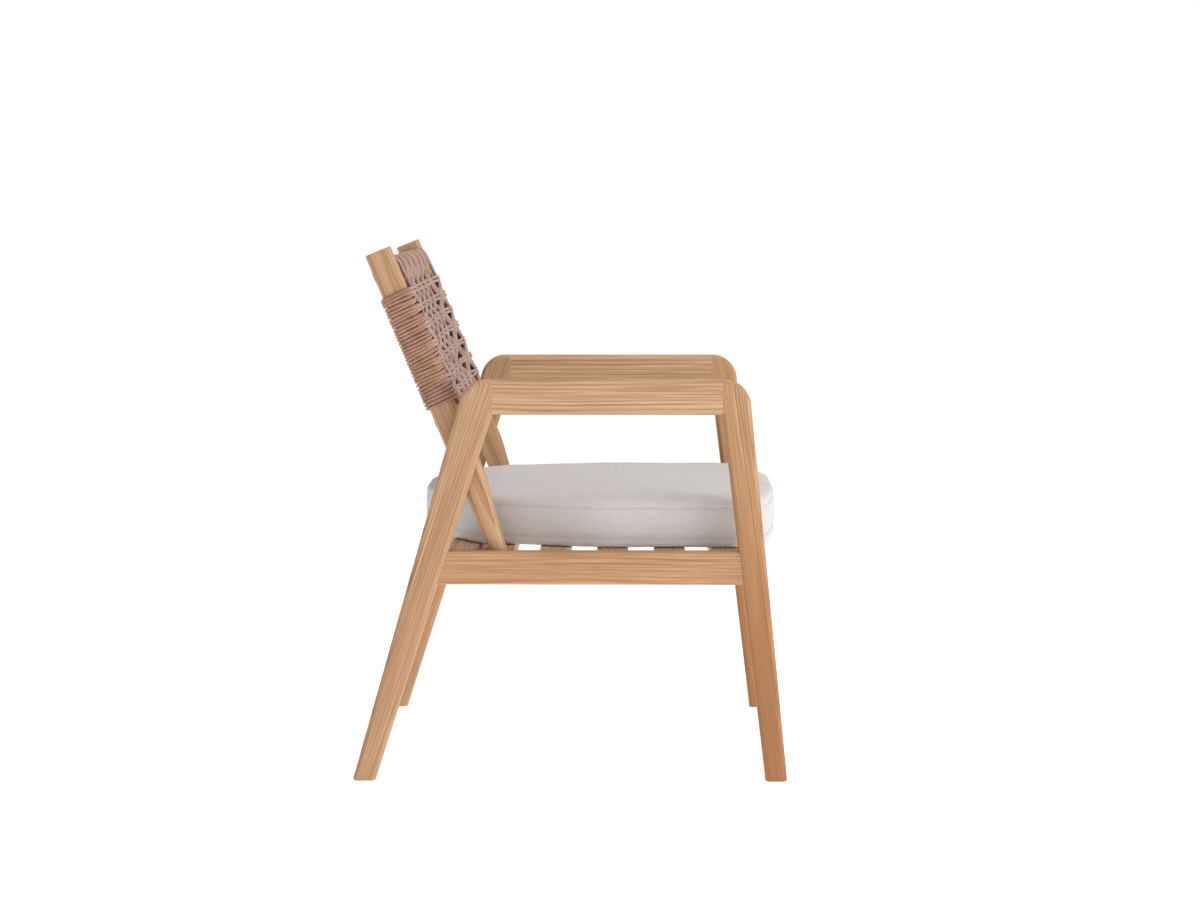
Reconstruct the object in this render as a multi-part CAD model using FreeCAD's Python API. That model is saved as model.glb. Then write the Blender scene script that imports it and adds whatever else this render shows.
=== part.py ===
import FreeCAD, Part

import math
import os

# Lounge armchair of solid ash: two side frames joined by cross rails and slats, two inclined back
# posts that carry a woven cord panel, and a loose box cushion. Millimetres. +Z is up, the front
# faces -Y, and X runs across the chair. The origin is on the floor, midway between the feet.

V = FreeCAD.Vector

# ---- overall ---------------------------------------------------------------------------------
overall_width = 660.0
overall_foot_span = 671.0        # rear edge of the rear foot to front edge of the front foot
arm_top_height = 620.0
deck_height = 356.0              # top of side rails, cross rails and slats

# ---- side frames -----------------------------------------------------------------------------
frame_thickness = 30.0           # legs and arms, across the chair
arm_height = 54.0
arm_corner_radius = 42.0
rear_foot_width = 35.2
rear_leg_head_width = 55.8       # at the underside of the arm
rear_leg_rake = 15.95            # degrees, rear edge from vertical
front_foot_width = 33.5
front_leg_head_width = 45.2
front_leg_rake = 5.74            # degrees, front edge from vertical
frame_edge_round = 8.0
foot_edge_round = 3.0
rail_height = 51.0
rail_recess = 3.0                # side rail's outer face, behind the legs' outer faces
rail_edge_round = 4.0
shoulder_cope = 8.5              # how far a rail end is scribed over a leg's rounded edge

# ---- tenons ----------------------------------------------------------------------------------
rail_tenon_thickness = 10.0
rail_tenon_height = 33.0
rail_tenon_length = 22.0
arm_tenon_thickness = 10.0
arm_tenon_height = 30.0
arm_tenon_length = 44.0          # half in the leg head, half in the arm
tenon_end_gap = 1.0

# ---- cross rails, ledgers, slats --------------------------------------------------------------
cross_rail_width = 45.0
cross_rail_height = 30.0
rear_cross_rail_lap = 1.4        # how far the rear cross rail laps onto the rear legs
front_cross_rail_lap = 3.5       # how far the front cross rail laps onto the front legs
slat_width = 48.0
slat_thickness = 12.0
slat_count = 3                   # spaced evenly from the front cross rail to the stretcher
slat_edge_round = 2.0
slat_end_gap = 2.0
ledger_width = 20.0
ledger_height = 22.0
ledger_post_gap = 12.0
stretcher_width = 48.0
stretcher_thickness = 24.0
stretcher_lead = 17.4            # stretcher's front edge, ahead of the post axis at deck height
dowel_diameter = 10.0
dowel_length = 40.0
dowel_end_gap = 1.0
cross_rail_dowel_inset = 12.5    # dowel centre to the cross rail's edge

# ---- back frame ------------------------------------------------------------------------------
back_rake = 22.5                 # degrees, post axis from vertical
post_foot_gap = 18.5             # post foot to the rear cross rail, at deck height
post_length_above_deck = 496.0
post_length_below_deck = 46.0
post_width = 41.0                # fore and aft
post_thickness = 27.0            # across the chair
post_edge_round = 10.0
post_top_round = 1.5
post_taper_start = 376.0         # below the post's top
post_front_at_foot = 5.5         # front edge of the narrowed foot, forward of the axis
post_rear_at_foot = 18.0         # rear edge of the narrowed foot, behind the axis
post_taper_bend_radius = 260.0
bar_depth = 30.0
top_bar_height = 37.0
top_bar_drop = 19.5              # post top to the top of the top bar
bottom_bar_height = 28.0
bottom_bar_drop = 266.0
bar_edge_round = 13.0

# ---- cord ------------------------------------------------------------------------------------
cord_diameter = 5.5
winding_start = 68.0             # below the post's top
winding_length = 190.0
weave_clearance = 0.3            # woven panel to the windings on the posts
weave_overlap = 14.0             # how far the woven panel laps each bar winding before it is scribed

# ---- screws and bolts ------------------------------------------------------------------------
slat_screw_diameter = 4.0
slat_screw_head = 8.0
slat_screw_length = 26.0
ledger_screw_length = 34.0
ledger_screw_inset = 26.0        # outer screws to the ledger's ends
bolt_diameter = 6.0
bolt_head_diameter = 12.0
bolt_head_height = 3.0
bolt_bite = 15.0                 # bolt end inside the side frame
foot_bolt_inset = 12.0           # bolt to the post's lower end

# ---- cushion ---------------------------------------------------------------------------------
cushion_side_gap = 12.0          # each side to the inner faces of the legs
cushion_post_gap = 39.0          # rear corners, inside the posts' inner faces
cushion_draw_in = 144.0          # where the sides start to draw in, ahead of the post axis
cushion_overhang = 68.6          # frontmost line, ahead of the front cross rail
cushion_front_bow = 26.0         # frontmost line to where the side's line meets it
cushion_front_flat = 172.0       # width of the frontmost line
cushion_corner_setback = 46.0    # rear corners, behind the post axis
cushion_rear_setback = 141.0     # rearmost line, behind the post axis
cushion_rear_flat = 164.0        # width of the rearmost line
cushion_height = 78.0
cushion_front_radius = 80.0
cushion_side_radius = 300.0
cushion_rear_radius = 55.0
cushion_bow_radius = 150.0
cushion_edge_round = 12.0
cover_thickness = 2.0
cushion_clearance = 0.3          # cushion to the deck

# ---- working margin ------------------------------------------------------------------------
cut_margin = 1.0                 # how far a cutting shape stands past what it cuts

# ---- places worked out from the sizes ----------------------------------------------------------
outer_face = overall_width / 2
inner_face = outer_face - frame_thickness
arm_underside = arm_top_height - arm_height
rear_foot_rear = overall_foot_span / 2
front_foot_front = -overall_foot_span / 2
rear_slope = math.tan(math.radians(rear_leg_rake))
front_slope = math.tan(math.radians(front_leg_rake))
rear_joint = rear_foot_rear - rear_slope * arm_underside - rear_leg_head_width
front_joint = front_foot_front + front_slope * arm_underside + front_leg_head_width
rail_outer_face = outer_face - rail_recess
rail_underside = deck_height - rail_height
rake = math.radians(back_rake)
post_inner_face = inner_face - post_thickness
post_length = post_length_above_deck + post_length_below_deck
winding_end = winding_start + winding_length


def rear_leg_front_edge(height):
    """Y of the rear leg's front edge at a height."""
    foot = rear_foot_rear - rear_foot_width
    return foot + (rear_joint - foot) * height / arm_underside


def front_leg_rear_edge(height):
    """Y of the front leg's rear edge at a height."""
    foot = front_foot_front + front_foot_width
    return foot + (front_joint - foot) * height / arm_underside


front_cross_rail_front = front_leg_rear_edge(deck_height) - front_cross_rail_lap
front_cross_rail_rear = front_cross_rail_front + cross_rail_width
rear_cross_rail_front = rear_leg_front_edge(deck_height) + rear_cross_rail_lap - cross_rail_width
post_foot_setback = rear_cross_rail_front - post_foot_gap - post_rear_at_foot / math.cos(rake)
stretcher_front = post_foot_setback - stretcher_lead
slat_gap = (stretcher_front - front_cross_rail_rear - slat_count * slat_width) / (slat_count + 1)


def back_point(x, along, forward):
    """A point of the back frame: along is down the post's axis from its top, forward is square to it."""
    down = along - post_length_above_deck
    y = post_foot_setback - down * math.sin(rake) - forward * math.cos(rake)
    z = deck_height - down * math.cos(rake) + forward * math.sin(rake)
    return V(x, y, z)


def outline(points, radii):
    """A closed face through the points, with each corner rounded to its radius by a tangent arc."""
    starts = []
    ends = []
    middles = []
    count = len(points)
    for i in range(count):
        corner = points[i]
        before = (points[i - 1] - corner).normalize()
        after = (points[(i + 1) % count] - corner).normalize()
        half = before.getAngle(after) / 2
        reach = radii[i] / math.tan(half)
        towards_centre = (before + after).normalize()
        starts.append(corner + before * reach)
        ends.append(corner + after * reach)
        middles.append(corner + towards_centre * (radii[i] / math.sin(half) - radii[i]))
    edges = []
    for i in range(count):
        if radii[i] > 0:
            edges.append(Part.Arc(starts[i], middles[i], ends[i]).toShape())
        following = starts[(i + 1) % count]
        if (following - ends[i]).Length > 1e-6:
            edges.append(Part.LineSegment(ends[i], following).toShape())
    return Part.Face(Part.Wire(edges))


def box(x0, x1, y0, y1, z0, z1):
    return Part.makeBox(x1 - x0, y1 - y0, z1 - z0, V(x0, y0, z0))


def edges_where(shape, test):
    return [edge for edge in shape.Edges if test(edge)]


def lies_at(edge, axis, value):
    """True if the whole edge lies in the plane where that coordinate has that value."""
    low = getattr(edge.BoundBox, axis + "Min")
    high = getattr(edge.BoundBox, axis + "Max")
    return abs(low - value) < 1e-4 and abs(high - value) < 1e-4


def runs_along(edge, axis):
    """True if the edge is parallel to that axis."""
    lengths = {"X": edge.BoundBox.XLength, "Y": edge.BoundBox.YLength, "Z": edge.BoundBox.ZLength}
    return abs(lengths.pop(axis) - edge.Length) < 1e-4 and max(lengths.values()) < 1e-4


def mirrored(shape):
    """The same piece on the other side of the chair."""
    return shape.mirror(V(0, 0, 0), V(1, 0, 0))


def both_sides(shape):
    return [shape, mirrored(shape)]


def rounded_box(x0, x1, y0, y1, z0, z1, axis, radius):
    """A bar with its four long edges rounded."""
    bar = box(x0, x1, y0, y1, z0, z1)
    return bar.makeFillet(radius, edges_where(bar, lambda edge: runs_along(edge, axis)))


# ---- legs and arms -----------------------------------------------------------------------------

def side_frame():
    """Both legs and the arm as one rounded arch, as they are when the glued frame is routed."""
    points = [
        V(inner_face, front_foot_front, 0),
        V(inner_face, front_foot_front + front_slope * arm_top_height, arm_top_height),
        V(inner_face, rear_foot_rear - rear_slope * arm_top_height, arm_top_height),
        V(inner_face, rear_foot_rear, 0),
        V(inner_face, rear_foot_rear - rear_foot_width, 0),
        V(inner_face, rear_joint, arm_underside),
        V(inner_face, front_joint, arm_underside),
        V(inner_face, front_foot_front + front_foot_width, 0),
    ]
    radii = [0, arm_corner_radius, arm_corner_radius, 0, 0, 0, 0, 0]
    blank = outline(points, radii).extrude(V(frame_thickness, 0, 0))

    def is_long_edge(edge):
        on_side = lies_at(edge, "X", inner_face) or lies_at(edge, "X", outer_face)
        return on_side and not lies_at(edge, "Z", 0)

    rounded = blank.makeFillet(frame_edge_round, edges_where(blank, is_long_edge))
    return rounded.makeFillet(foot_edge_round, edges_where(rounded, lambda edge: lies_at(edge, "Z", 0)))


def between(shape, y0, y1):
    """The part of a shape that lies between two upright planes across the chair's depth."""
    return shape.common(box(-overall_width, overall_width, y0, y1, -overall_width, 2 * overall_width))


def arm_tenon(joint, end_gap):
    """The loose tenon across an arm joint. With an end gap it is the mortise that takes it."""
    middle_x = (inner_face + outer_face) / 2
    middle_z = (arm_underside + arm_top_height) / 2
    half_length = arm_tenon_length / 2 + end_gap
    return box(middle_x - arm_tenon_thickness / 2, middle_x + arm_tenon_thickness / 2,
               joint - half_length, joint + half_length,
               middle_z - arm_tenon_height / 2, middle_z + arm_tenon_height / 2)


def rail_tenons(end_gap):
    """The two tenons of a side rail, each running from inside the rail into a leg."""
    middle_x = (inner_face + outer_face) / 2
    middle_z = (rail_underside + deck_height) / 2
    front_shoulder = front_leg_rear_edge(middle_z)
    rear_shoulder = rear_leg_front_edge(middle_z)
    reach = rail_tenon_length + end_gap
    tenons = []
    for low, high in ((front_shoulder - reach, front_shoulder + rail_tenon_length),
                      (rear_shoulder - rail_tenon_length, rear_shoulder + reach)):
        tenons.append(box(middle_x - rail_tenon_thickness / 2, middle_x + rail_tenon_thickness / 2,
                          low, high, middle_z - rail_tenon_height / 2, middle_z + rail_tenon_height / 2))
    return tenons


def side_rail(front_leg_shape, rear_leg_shape):
    """The side rail: its shoulders are scribed to the legs' rounded edges."""
    cut_face = inner_face - cut_margin
    blank = rounded_box(inner_face, rail_outer_face,
                        front_leg_rear_edge(deck_height) - 2 * shoulder_cope,
                        rear_leg_front_edge(rail_underside) + 2 * shoulder_cope,
                        rail_underside, deck_height, "Y", rail_edge_round)
    between_legs = outline([
        V(cut_face, front_leg_rear_edge(0) - shoulder_cope, 0),
        V(cut_face, front_leg_rear_edge(arm_underside) - shoulder_cope, arm_underside),
        V(cut_face, rear_leg_front_edge(arm_underside) + shoulder_cope, arm_underside),
        V(cut_face, rear_leg_front_edge(0) + shoulder_cope, 0),
    ], [0, 0, 0, 0]).extrude(V(frame_thickness + 2 * cut_margin, 0, 0))
    rail = blank.common(between_legs).cut(front_leg_shape).cut(rear_leg_shape)
    for tenon in rail_tenons(0):
        rail = rail.fuse(tenon)
    return rail.removeSplitter()


# ---- cross rails, ledgers, slats ----------------------------------------------------------------

cross_rail_middle = deck_height - cross_rail_height / 2
first_slat_front = front_cross_rail_rear + slat_gap
slat_underside = deck_height - slat_thickness
ledger_rear = back_point(0, post_length_above_deck + post_length_below_deck, post_front_at_foot).y
ledger_rear_end = ledger_rear - ledger_post_gap


def cross_rail(front_edge):
    return rounded_box(-inner_face, inner_face, front_edge, front_edge + cross_rail_width,
                       deck_height - cross_rail_height, deck_height, "X", rail_edge_round)


def dowel(x_middle, y, z, end_gap):
    """A dowel lying across the chair. With an end gap it is the bore that takes it."""
    length = dowel_length + 2 * end_gap
    return Part.makeCylinder(dowel_diameter / 2, length, V(x_middle - length / 2, y, z), V(1, 0, 0))


def rail_dowels(front_edge, end_gap):
    """Four dowels, two at each end of a cross rail, half in the side rail."""
    dowels = []
    for inset in (cross_rail_dowel_inset, cross_rail_width - cross_rail_dowel_inset):
        dowels += both_sides(dowel(inner_face, front_edge + inset, cross_rail_middle, end_gap))
    return dowels


def ledger():
    """The strip that carries the slat ends, against the inside of the side rail."""
    return box(inner_face - ledger_width, inner_face, front_cross_rail_rear, ledger_rear_end,
               slat_underside - ledger_height, slat_underside)


def slat_front_edge(number):
    return first_slat_front + number * (slat_width + slat_gap)


def slat(number):
    front_edge = slat_front_edge(number)
    half_length = inner_face - slat_end_gap
    return rounded_box(-half_length, half_length, front_edge, front_edge + slat_width,
                       slat_underside, deck_height, "X", slat_edge_round)


def screw(length, head_diameter, shank_diameter):
    """A countersunk screw, its head at the origin and its shank down -Z."""
    head_height = (head_diameter - shank_diameter) / 2
    head = Part.makeCone(shank_diameter / 2, head_diameter / 2, head_height, V(0, 0, -head_height))
    shank = Part.makeCylinder(shank_diameter / 2, length - head_height, V(0, 0, -length))
    return head.fuse(shank).removeSplitter()


def slat_screws():
    screws = []
    for number in range(slat_count):
        one = screw(slat_screw_length, slat_screw_head, slat_screw_diameter)
        middle = slat_front_edge(number) + slat_width / 2
        one.translate(V(inner_face - ledger_width / 2, middle, deck_height))
        screws += both_sides(one)
    return screws


def ledger_screws():
    """Three screws through each ledger into its side rail, the middle one between two slats."""
    screws = []
    middle = slat_front_edge(1) - slat_gap / 2
    for y in (front_cross_rail_rear + ledger_screw_inset, middle, ledger_rear_end - ledger_screw_inset):
        one = screw(ledger_screw_length, slat_screw_head, slat_screw_diameter)
        one.rotate(V(0, 0, 0), V(0, 1, 0), -90)
        one.translate(V(inner_face - ledger_width, y, slat_underside - ledger_height / 2))
        screws += both_sides(one)
    return screws


# ---- back frame ---------------------------------------------------------------------------------

def post():
    """A back post: straight at the top, narrowed on its front side towards the seat."""
    top = [back_point(post_inner_face, 0, -post_width / 2), back_point(post_inner_face, 0, post_width / 2)]
    front = [back_point(post_inner_face, post_taper_start, post_width / 2),
             back_point(post_inner_face, post_length_above_deck, post_front_at_foot),
             back_point(post_inner_face, post_length, post_front_at_foot)]
    rear = [back_point(post_inner_face, post_length, -post_rear_at_foot),
            back_point(post_inner_face, post_length_above_deck, -post_rear_at_foot),
            back_point(post_inner_face, post_taper_start, -post_width / 2)]
    bend = post_taper_bend_radius
    side_face = outline(top + front + rear, [0, 0, bend, bend, 0, 0, bend, bend])
    blank = side_face.extrude(V(post_thickness, 0, 0))
    top_middle = back_point(0, 0, 0)
    foot_middle = back_point(0, post_length, 0)
    axis = (foot_middle - top_middle).normalize()

    def is_long_edge(edge):
        on_side = lies_at(edge, "X", post_inner_face) or lies_at(edge, "X", inner_face)
        along = [(vertex.Point - top_middle).dot(axis) for vertex in edge.Vertexes]
        return on_side and abs(along[0] - along[1]) > 1

    rounded = blank.makeFillet(post_edge_round, edges_where(blank, is_long_edge))

    def is_top_edge(edge):
        return all(abs((vertex.Point - top_middle).dot(axis)) < 1e-4 for vertex in edge.Vertexes)

    return rounded.makeChamfer(post_top_round, edges_where(rounded, is_top_edge))


def back_bar(half_length, start, height, depth, radius):
    """A bar between the posts, lying square to the back frame, with rounded long edges."""
    corners = [back_point(-half_length, start, depth / 2),
               back_point(-half_length, start + height, depth / 2),
               back_point(-half_length, start + height, -depth / 2),
               back_point(-half_length, start, -depth / 2)]
    return outline(corners, [radius] * 4).extrude(V(2 * half_length, 0, 0))


def bar_winding(start, height):
    """The closed layer of cord round a bar of the back frame."""
    outer = back_bar(post_inner_face, start - cord_diameter, height + 2 * cord_diameter,
                     bar_depth + 2 * cord_diameter, bar_edge_round + cord_diameter)
    return outer.cut(back_bar(post_inner_face, start, height, bar_depth, bar_edge_round))


def post_winding(post_shape):
    """The closed layer of cord wound round a post."""
    x0 = post_inner_face - cord_diameter
    half_width = post_width / 2 + cord_diameter
    corners = [back_point(x0, winding_start, half_width), back_point(x0, winding_end, half_width),
               back_point(x0, winding_end, -half_width), back_point(x0, winding_start, -half_width)]
    blank = outline(corners, [0] * 4).extrude(V(post_thickness + 2 * cord_diameter, 0, 0))
    top_middle = back_point(0, 0, 0)
    axis = (back_point(0, 1, 0) - top_middle).normalize()

    def is_long_edge(edge):
        along = [(vertex.Point - top_middle).dot(axis) for vertex in edge.Vertexes]
        return abs(along[0] - along[1]) > 1

    sleeve = blank.makeFillet(post_edge_round + cord_diameter, edges_where(blank, is_long_edge))
    return sleeve.cut(post_shape)


def weave(forward, windings):
    """One face of the woven panel, between the posts and lapped on the two bar windings."""
    half_length = post_inner_face - cord_diameter - weave_clearance
    start = top_bar_drop + top_bar_height + cord_diameter - weave_overlap
    end = bottom_bar_drop - cord_diameter + weave_overlap
    corners = [back_point(-half_length, start, forward), back_point(-half_length, end, forward),
               back_point(-half_length, end, forward - cord_diameter),
               back_point(-half_length, start, forward - cord_diameter)]
    sheet = outline(corners, [0] * 4).extrude(V(2 * half_length, 0, 0))
    for winding in windings:
        sheet = sheet.cut(winding)
    return max(sheet.Solids, key=lambda solid: solid.Volume)


def bar_dowels(start, height, end_gap):
    """Two dowels, one at each end of a bar, half in the post."""
    middle = back_point(0, start + height / 2, 0)
    return both_sides(dowel(post_inner_face, middle.y, middle.z, end_gap))


def stretcher():
    """The stretcher ties the post feet together, flush with the slats."""
    return rounded_box(-post_inner_face, post_inner_face, stretcher_front, stretcher_front + stretcher_width,
                       deck_height - stretcher_thickness, deck_height, "X", slat_edge_round)


def stretcher_dowels(end_gap):
    """One dowel at each end, on the line of the post's narrowed foot."""
    along = post_length_above_deck + stretcher_thickness / 2 / math.cos(rake)
    middle = back_point(0, along, (post_front_at_foot - post_rear_at_foot) / 2)
    return both_sides(dowel(post_inner_face, middle.y, deck_height - stretcher_thickness / 2, end_gap))


def bolt(y, z):
    """A bolt through the post, its flat head on the post's inner face, its end in the side frame."""
    head = Part.makeCylinder(bolt_head_diameter / 2, bolt_head_height,
                             V(post_inner_face - bolt_head_height, y, z), V(1, 0, 0))
    length = post_thickness + bolt_bite
    shank = Part.makeCylinder(bolt_diameter / 2, length, V(post_inner_face, y, z), V(1, 0, 0))
    return head.fuse(shank).removeSplitter()


def foot_bolts():
    """One bolt from each post foot into its side rail, below the stretcher."""
    middle_forward = (post_front_at_foot - post_rear_at_foot) / 2
    point = back_point(0, post_length - foot_bolt_inset, middle_forward)
    return both_sides(bolt(point.y, point.z))


def leg_bolts():
    """One bolt from each post into its rear leg, where the post's axis crosses the leg's middle."""
    middle_at_floor = rear_foot_rear - rear_foot_width / 2
    middle_at_arm = rear_joint + rear_leg_head_width / 2
    slope = (middle_at_floor - middle_at_arm) / arm_underside
    ahead_at_deck = middle_at_floor - slope * deck_height - post_foot_setback
    above_deck = ahead_at_deck / (math.sin(rake) + slope * math.cos(rake))
    point = back_point(0, post_length_above_deck - above_deck, 0)
    return both_sides(bolt(point.y, point.z))


# ---- cushion ------------------------------------------------------------------------------------

def cushion_form(inset):
    """The box form with rounded top and bottom edges, drawn in by the inset on every side."""
    bottom = deck_height + cushion_clearance
    half_width = inner_face - cushion_side_gap
    rear_half_width = post_inner_face - cushion_post_gap
    front = front_cross_rail_front - cushion_overhang
    half_outline = [
        (cushion_front_flat / 2, front, cushion_bow_radius),
        (half_width, front + cushion_front_bow, cushion_front_radius),
        (half_width, post_foot_setback - cushion_draw_in, cushion_side_radius),
        (rear_half_width, post_foot_setback + cushion_corner_setback, cushion_rear_radius),
        (cushion_rear_flat / 2, post_foot_setback + cushion_rear_setback, cushion_bow_radius),
    ]
    whole_outline = half_outline + [(-x, y, radius) for x, y, radius in reversed(half_outline)]
    corners = [V(x, y, bottom) for x, y, radius in whole_outline]
    plan = outline(corners, [radius for x, y, radius in whole_outline])
    if inset > 0:
        plan = plan.makeOffset2D(-inset)
    plan.translate(V(0, 0, inset))
    low = bottom + inset
    high = bottom + cushion_height - inset
    body = plan.extrude(V(0, 0, high - low))
    rim = edges_where(body, lambda edge: lies_at(edge, "Z", low) or lies_at(edge, "Z", high))
    return body.makeFillet(cushion_edge_round - inset, rim)


# ---- building -----------------------------------------------------------------------------------

def cut_all(shape, tools):
    for tool in tools:
        shape = shape.cut(tool)
    return shape


def build():
    nodes = {}
    arm_tenons = [arm_tenon(front_joint, 0), arm_tenon(rear_joint, 0)]
    arm_mortises = [arm_tenon(front_joint, tenon_end_gap), arm_tenon(rear_joint, tenon_end_gap)]
    frame = side_frame()
    plain_front_leg = between(frame, -overall_foot_span, front_joint)
    plain_rear_leg = between(frame, rear_joint, overall_foot_span)
    rail = side_rail(plain_front_leg, plain_rear_leg)

    front_dowels = rail_dowels(front_cross_rail_front, 0)
    rear_dowels = rail_dowels(rear_cross_rail_front, 0)
    rail_bores = (rail_dowels(front_cross_rail_front, dowel_end_gap)
                  + rail_dowels(rear_cross_rail_front, dowel_end_gap))
    crossbar_dowels = (bar_dowels(top_bar_drop, top_bar_height, 0)
                       + bar_dowels(bottom_bar_drop, bottom_bar_height, 0))
    crossbar_bores = (bar_dowels(top_bar_drop, top_bar_height, dowel_end_gap)
                      + bar_dowels(bottom_bar_drop, bottom_bar_height, dowel_end_gap))
    slat_fixings = slat_screws()
    ledger_fixings = ledger_screws()
    foot_fixings = foot_bolts()
    leg_fixings = leg_bolts()

    rail = cut_all(rail, rail_bores + ledger_fixings + foot_fixings)
    finished_front_leg = cut_all(plain_front_leg, arm_mortises + rail_tenons(tenon_end_gap))
    finished_rear_leg = cut_all(plain_rear_leg, arm_mortises + rail_tenons(tenon_end_gap) + leg_fixings)
    finished_arm = cut_all(between(frame, front_joint, rear_joint), arm_mortises)
    plain_post = post()
    finished_post = cut_all(plain_post, crossbar_bores + stretcher_dowels(dowel_end_gap)
                            + foot_fixings + leg_fixings)
    winding = post_winding(plain_post)
    strip = cut_all(ledger(), slat_fixings + ledger_fixings)
    for name, shape in (("front_leg", finished_front_leg), ("rear_leg", finished_rear_leg),
                        ("arm", finished_arm), ("side_rail", rail), ("slat_ledger", strip),
                        ("back_post", finished_post), ("post_cord_winding", winding)):
        nodes[name + "_left"] = shape
        nodes[name + "_right"] = mirrored(shape)

    nodes["arm_loose_tenons"] = Part.makeCompound(arm_tenons + [mirrored(tenon) for tenon in arm_tenons])
    nodes["front_cross_rail"] = cut_all(cross_rail(front_cross_rail_front), rail_bores)
    nodes["rear_cross_rail"] = cut_all(cross_rail(rear_cross_rail_front), rail_bores)
    nodes["cross_rail_dowels"] = Part.makeCompound(front_dowels + rear_dowels)
    for number in range(slat_count):
        nodes["seat_slat_%d" % (number + 1)] = cut_all(slat(number), slat_fixings)
    nodes["slat_screws"] = Part.makeCompound(slat_fixings)
    nodes["ledger_screws"] = Part.makeCompound(ledger_fixings)

    nodes["post_stretcher"] = cut_all(stretcher(), stretcher_dowels(dowel_end_gap))
    nodes["stretcher_dowels"] = Part.makeCompound(stretcher_dowels(0))
    top_bar = back_bar(post_inner_face, top_bar_drop, top_bar_height, bar_depth, bar_edge_round)
    bottom_bar = back_bar(post_inner_face, bottom_bar_drop, bottom_bar_height, bar_depth, bar_edge_round)
    nodes["top_crossbar"] = cut_all(top_bar, crossbar_bores)
    nodes["bottom_crossbar"] = cut_all(bottom_bar, crossbar_bores)
    nodes["crossbar_dowels"] = Part.makeCompound(crossbar_dowels)
    nodes["post_foot_bolts"] = Part.makeCompound(foot_fixings)
    nodes["post_leg_bolts"] = Part.makeCompound(leg_fixings)

    top_winding = bar_winding(top_bar_drop, top_bar_height)
    bottom_winding = bar_winding(bottom_bar_drop, bottom_bar_height)
    nodes["top_bar_cord_winding"] = top_winding
    nodes["bottom_bar_cord_winding"] = bottom_winding
    weave_face = bar_depth / 2 + cord_diameter
    nodes["front_cord_weave"] = weave(weave_face, [top_winding, bottom_winding])
    nodes["rear_cord_weave"] = weave(cord_diameter - weave_face, [top_winding, bottom_winding])

    foam = cushion_form(cover_thickness)
    nodes["cushion_foam"] = foam
    nodes["cushion_cover"] = cushion_form(0).cut(foam)
    return nodes


os.makedirs("parts", exist_ok=True)
for name, shape in build().items():
    shape.exportStep("parts/%s.step" % name)
    print("%-26s %d solid(s) %9.0f mm3 valid %s" % (name, len(shape.Solids), shape.Volume, shape.isValid()))
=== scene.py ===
import math
import random

import bmesh
import bpy
import numpy as np
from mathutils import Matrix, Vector
from mathutils.bvhtree import BVHTree


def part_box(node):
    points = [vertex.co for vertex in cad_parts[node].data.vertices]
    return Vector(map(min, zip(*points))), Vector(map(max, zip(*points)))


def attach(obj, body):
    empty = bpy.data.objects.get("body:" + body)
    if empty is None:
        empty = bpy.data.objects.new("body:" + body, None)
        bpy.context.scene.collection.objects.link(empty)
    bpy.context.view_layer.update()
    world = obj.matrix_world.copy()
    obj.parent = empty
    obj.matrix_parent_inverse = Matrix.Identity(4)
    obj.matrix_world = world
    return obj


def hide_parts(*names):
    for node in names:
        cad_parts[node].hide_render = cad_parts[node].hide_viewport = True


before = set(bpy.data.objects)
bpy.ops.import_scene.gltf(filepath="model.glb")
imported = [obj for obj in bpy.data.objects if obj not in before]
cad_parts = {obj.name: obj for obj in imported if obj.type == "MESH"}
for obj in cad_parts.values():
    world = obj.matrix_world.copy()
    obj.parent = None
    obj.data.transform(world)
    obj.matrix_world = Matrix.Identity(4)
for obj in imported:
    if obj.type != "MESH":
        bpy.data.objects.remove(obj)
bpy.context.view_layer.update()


# ---- Side frames -------------------------------------------------------------------------------
# Each side is two slanted legs and a flat arm of solid ash, butted upright at the leg heads on
# loose tenons and routed round as one frame. The wood is sanded and finished with a matt oil.

def new_material(name):
    """A material with only an output and a Principled shader; returns it with its tree and shader."""
    material = bpy.data.materials.new(name)
    material.use_nodes = True
    tree = material.node_tree
    tree.nodes.clear()
    output = tree.nodes.new("ShaderNodeOutputMaterial")
    shader = tree.nodes.new("ShaderNodeBsdfPrincipled")
    tree.links.new(shader.outputs["BSDF"], output.inputs["Surface"])
    return material, tree, shader


def add(tree, kind, inputs=None, **settings):
    """Adds a node. Inputs are keyed by name or number; a socket is linked, anything else is a value."""
    node = tree.nodes.new(kind)
    for key, value in settings.items():
        setattr(node, key, value)
    for key, value in (inputs or {}).items():
        if isinstance(value, bpy.types.NodeSocket):
            tree.links.new(value, node.inputs[key])
        else:
            node.inputs[key].default_value = value
    return node


def math_node(tree, operation, a, b=0.0):
    return add(tree, "ShaderNodeMath", {0: a, 1: b}, operation=operation).outputs[0]


def ramp(tree, factor, stops):
    """A colour ramp through (place, grey or colour) stops."""
    node = add(tree, "ShaderNodeValToRGB", {"Fac": factor})
    elements = node.color_ramp.elements
    while len(elements) < len(stops):
        elements.new(0.5)
    for element, (place, value) in zip(elements, stops):
        element.position = place
        element.color = (value, value, value, 1) if isinstance(value, (int, float)) else (*value, 1)
    return node.outputs["Color"]


def mix(tree, factor, a, b, blend="MIX"):
    node = add(tree, "ShaderNodeMix", data_type="RGBA", blend_type=blend)
    for socket, value in ((node.inputs[0], factor), (node.inputs[6], a), (node.inputs[7], b)):
        if isinstance(value, bpy.types.NodeSocket):
            tree.links.new(value, socket)
        else:
            socket.default_value = value if isinstance(value, (int, float)) else (*value, 1)
    return node.outputs[2]


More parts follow.
